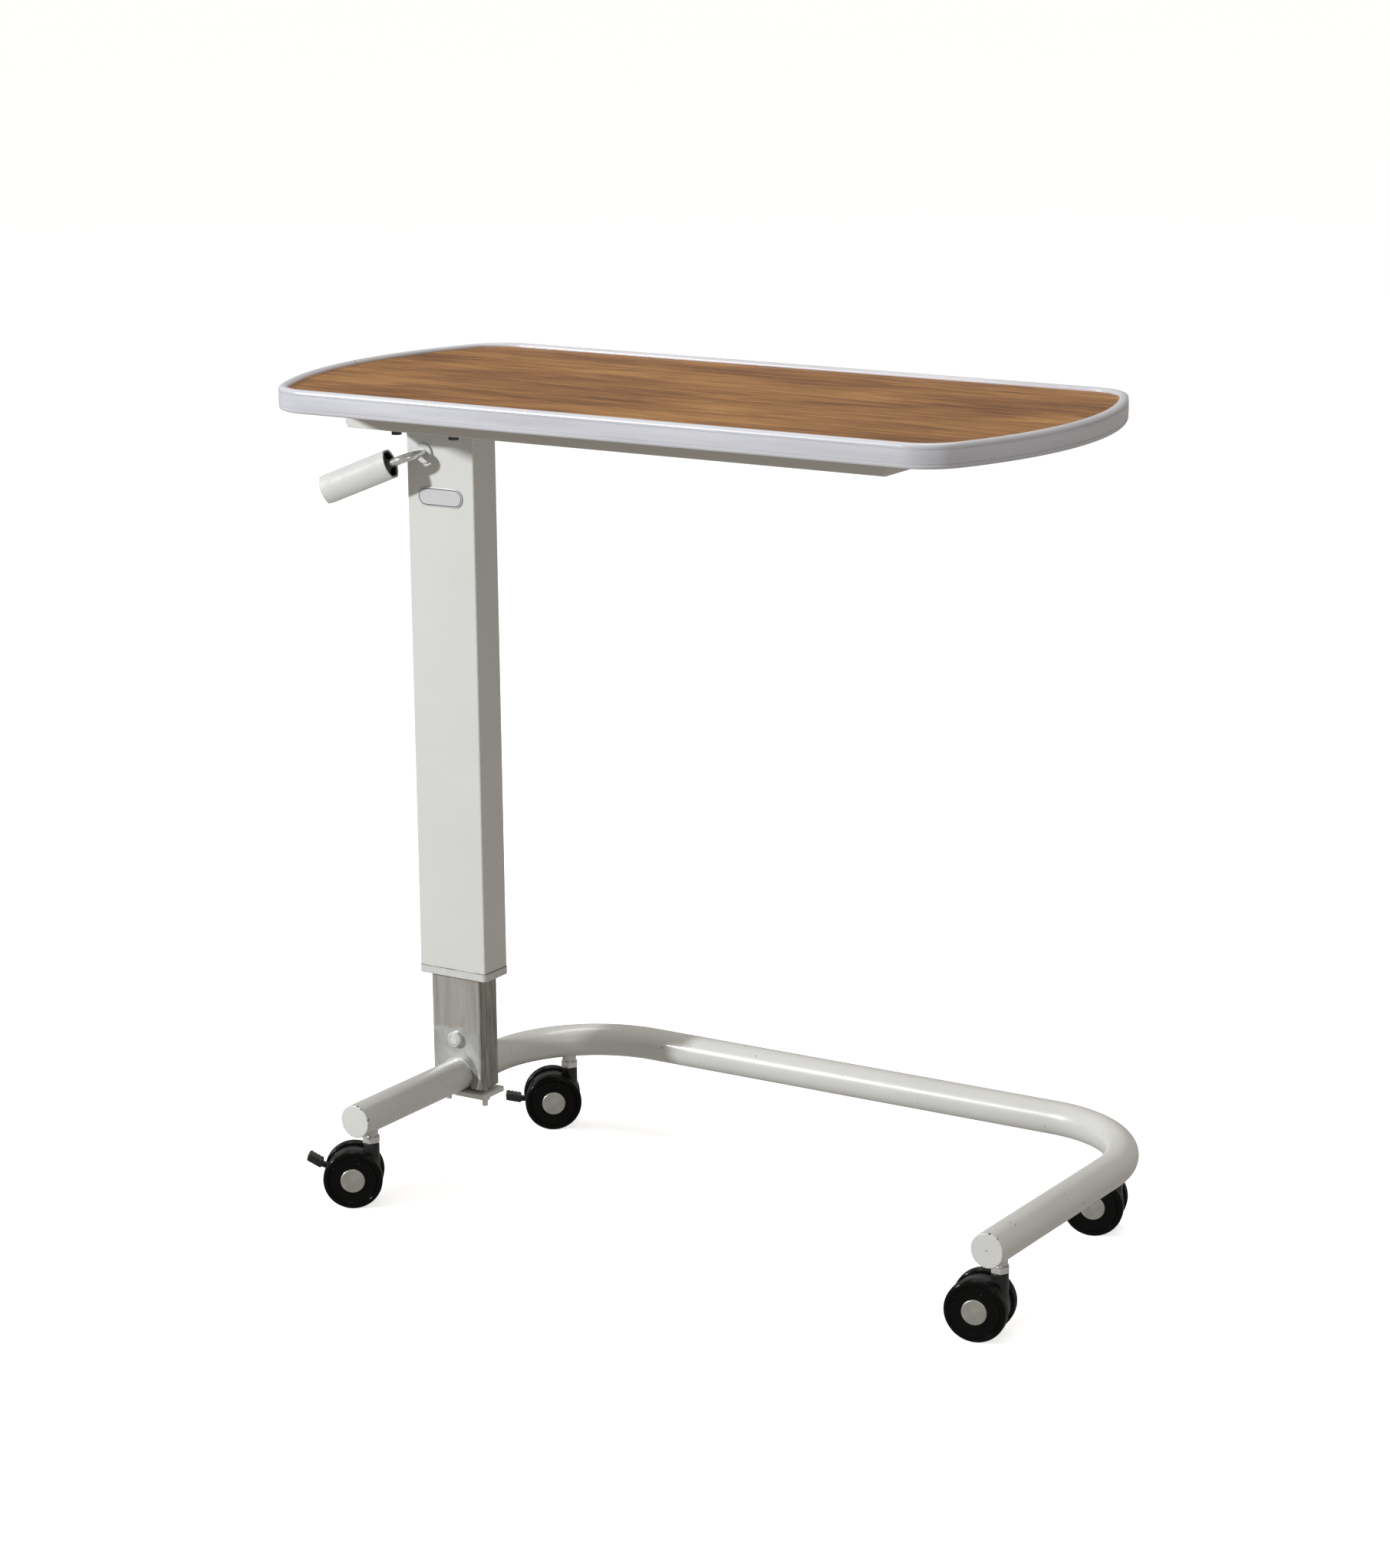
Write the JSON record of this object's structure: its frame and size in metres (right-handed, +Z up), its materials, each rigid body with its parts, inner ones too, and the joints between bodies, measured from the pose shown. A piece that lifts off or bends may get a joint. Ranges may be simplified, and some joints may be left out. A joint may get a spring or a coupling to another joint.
{
  "type": "overbed table",
  "caption": "Height-adjustable overbed table with a bow-ended wood-look top, one gas-sprung column and a U-shaped tube base on swivel casters.",
  "frame": {"origin": "on the floor, under the middle of the object's box at rest", "axes": "+X along the table top from the column side to the free side, +Y towards the back of the base, +Z up"},
  "size_m": [0.8884, 0.418, 0.8546],
  "materials": {
    "wood_laminate": "satin",
    "rim_plastic": "satin",
    "chipboard": "raw",
    "grey_paint": "satin",
    "raw_steel": "brushed",
    "zinc_steel": "polished",
    "guide_plastic": "satin",
    "grip_plastic": "satin",
    "black_plastic": "satin",
    "wheel_black": "gloss",
    "hub_cap": "brushed",
    "badge_silver": "satin",
    "spring_black": "gloss"
  },
  "bodies": {
    "base": {"base_tube": "grey_paint", "tube_end_caps": "grey_paint", "caster_bosses": "grey_paint", "caster_stems": "zinc_steel", "caster_stem_nuts": "zinc_steel", "clamp_plate": "grey_paint", "clamp_bar": "raw_steel", "clamp_studs": "zinc_steel", "clamp_nuts": "zinc_steel", "inner_column": "raw_steel", "upper_guide_cap": "guide_plastic", "lower_pin": "zinc_steel", "lower_pin_nut": "zinc_steel", "gas_spring_cylinder": "spring_black"},
    "upper_column": {"outer_column": "grey_paint", "lower_guide_collar": "guide_plastic", "column_head_plate": "grey_paint", "head_plate_bolts": "zinc_steel", "head_plate_nuts": "zinc_steel", "support_tray": "grey_paint", "tray_screws": "zinc_steel", "top_board": "chipboard", "wood_laminate": "wood_laminate", "edge_rim": "rim_plastic", "spring_head_block": "raw_steel", "gas_spring_rod": "zinc_steel", "gas_spring_piston": "raw_steel", "lever_bushes": "guide_plastic", "badge_plate": "badge_silver"},
    "release_lever": {"release_lever_rod": "zinc_steel", "grip_shell": "grip_plastic", "grip_core": "black_plastic", "release_cam": "raw_steel"},
    "release_pin": {"release_pin": "zinc_steel"},
    "left_front_caster": {"caster_left_front_housing": "black_plastic", "caster_left_front_axle": "zinc_steel"},
    "left_front_wheel_near": {"caster_left_front_wheel_near": "wheel_black", "caster_left_front_cap_near": "hub_cap"},
    "left_front_wheel_far": {"caster_left_front_wheel_far": "wheel_black", "caster_left_front_cap_far": "hub_cap"},
    "left_front_brake": {"caster_left_front_brake_pedal": "black_plastic"},
    "left_rear_caster": {"caster_left_rear_housing": "black_plastic", "caster_left_rear_axle": "zinc_steel"},
    "left_rear_wheel_near": {"caster_left_rear_wheel_near": "wheel_black", "caster_left_rear_cap_near": "hub_cap"},
    "left_rear_wheel_far": {"caster_left_rear_wheel_far": "wheel_black", "caster_left_rear_cap_far": "hub_cap"},
    "left_rear_brake": {"caster_left_rear_brake_pedal": "black_plastic"},
    "right_front_caster": {"caster_right_front_housing": "black_plastic", "caster_right_front_axle": "zinc_steel"},
    "right_front_wheel_near": {"caster_right_front_wheel_near": "wheel_black", "caster_right_front_cap_near": "hub_cap"},
    "right_front_wheel_far": {"caster_right_front_wheel_far": "wheel_black", "caster_right_front_cap_far": "hub_cap"},
    "right_rear_caster": {"caster_right_rear_housing": "black_plastic", "caster_right_rear_axle": "zinc_steel"},
    "right_rear_wheel_near": {"caster_right_rear_wheel_near": "wheel_black", "caster_right_rear_cap_near": "hub_cap"},
    "right_rear_wheel_far": {"caster_right_rear_wheel_far": "wheel_black", "caster_right_rear_cap_far": "hub_cap"}
  },
  "joints": [
    {"name": "column_lift", "type": "slide", "parent": "base", "child": "upper_column", "axis": [0, 0, 1], "range_m": [-0.05, 0.23]},
    {"name": "release_lever_turn", "type": "hinge", "parent": "upper_column", "child": "release_lever", "pos_m": [-0.33279, 0.00902, 0.768], "axis": [0, 1, 0], "range_deg": [0, 15]},
    {"name": "release_pin_press", "type": "slide", "parent": "upper_column", "child": "release_pin", "axis": [0, 0, 1], "range_m": [-0.00472, 0]},
    {"name": "left_front_swivel", "type": "hinge", "parent": "base", "child": "left_front_caster", "pos_m": [-0.31329, -0.16348, 0.05], "axis": [0, 0, 1], "continuous": true},
    {"name": "left_front_near_spin", "type": "hinge", "parent": "left_front_caster", "child": "left_front_wheel_near", "pos_m": [-0.32913, -0.17397, 0.031], "axis": [-0.5519, 0.8339, 0], "continuous": true},
    {"name": "left_front_far_spin", "type": "hinge", "parent": "left_front_caster", "child": "left_front_wheel_far", "pos_m": [-0.32913, -0.17397, 0.031], "axis": [-0.5519, 0.8339, 0], "continuous": true},
    {"name": "left_front_brake_press", "type": "hinge", "parent": "left_front_caster", "child": "left_front_brake", "pos_m": [-0.32913, -0.17397, 0.031], "axis": [-0.5519, 0.8339, 0], "range_deg": [-15, 0]},
    {"name": "left_rear_swivel", "type": "hinge", "parent": "base", "child": "left_rear_caster", "pos_m": [-0.27699, 0.15272, 0.05], "axis": [0, 0, 1], "continuous": true},
    {"name": "left_rear_near_spin", "type": "hinge", "parent": "left_rear_caster", "child": "left_rear_wheel_near", "pos_m": [-0.29216, 0.14129, 0.031], "axis": [-0.6018, 0.7986, 0], "continuous": true},
    {"name": "left_rear_far_spin", "type": "hinge", "parent": "left_rear_caster", "child": "left_rear_wheel_far", "pos_m": [-0.29216, 0.14129, 0.031], "axis": [-0.6018, 0.7986, 0], "continuous": true},
    {"name": "left_rear_brake_press", "type": "hinge", "parent": "left_rear_caster", "child": "left_rear_brake", "pos_m": [-0.29216, 0.14129, 0.031], "axis": [-0.6018, 0.7986, 0], "range_deg": [-15, 0]},
    {"name": "right_front_swivel", "type": "hinge", "parent": "base", "child": "right_front_caster", "pos_m": [0.42671, -0.16348, 0.05], "axis": [0, 0, 1], "continuous": true},
    {"name": "right_front_near_spin", "type": "hinge", "parent": "right_front_caster", "child": "right_front_wheel_near", "pos_m": [0.40816, -0.16759, 0.031], "axis": [-0.2164, 0.9763, 0], "continuous": true},
    {"name": "right_front_far_spin", "type": "hinge", "parent": "right_front_caster", "child": "right_front_wheel_far", "pos_m": [0.40816, -0.16759, 0.031], "axis": [-0.2164, 0.9763, 0], "continuous": true},
    {"name": "right_rear_swivel", "type": "hinge", "parent": "base", "child": "right_rear_caster", "pos_m": [0.39041, 0.15272, 0.05], "axis": [0, 0, 1], "continuous": true},
    {"name": "right_rear_near_spin", "type": "hinge", "parent": "right_rear_caster", "child": "right_rear_wheel_near", "pos_m": [0.37245, 0.14653, 0.031], "axis": [-0.3256, 0.9455, 0], "continuous": true},
    {"name": "right_rear_far_spin", "type": "hinge", "parent": "right_rear_caster", "child": "right_rear_wheel_far", "pos_m": [0.37245, 0.14653, 0.031], "axis": [-0.3256, 0.9455, 0], "continuous": true}
  ],
  "couplings": [
    {"joint": "release_pin_press", "follows": "release_lever_turn", "m_per_rad": -0.018}
  ]
}
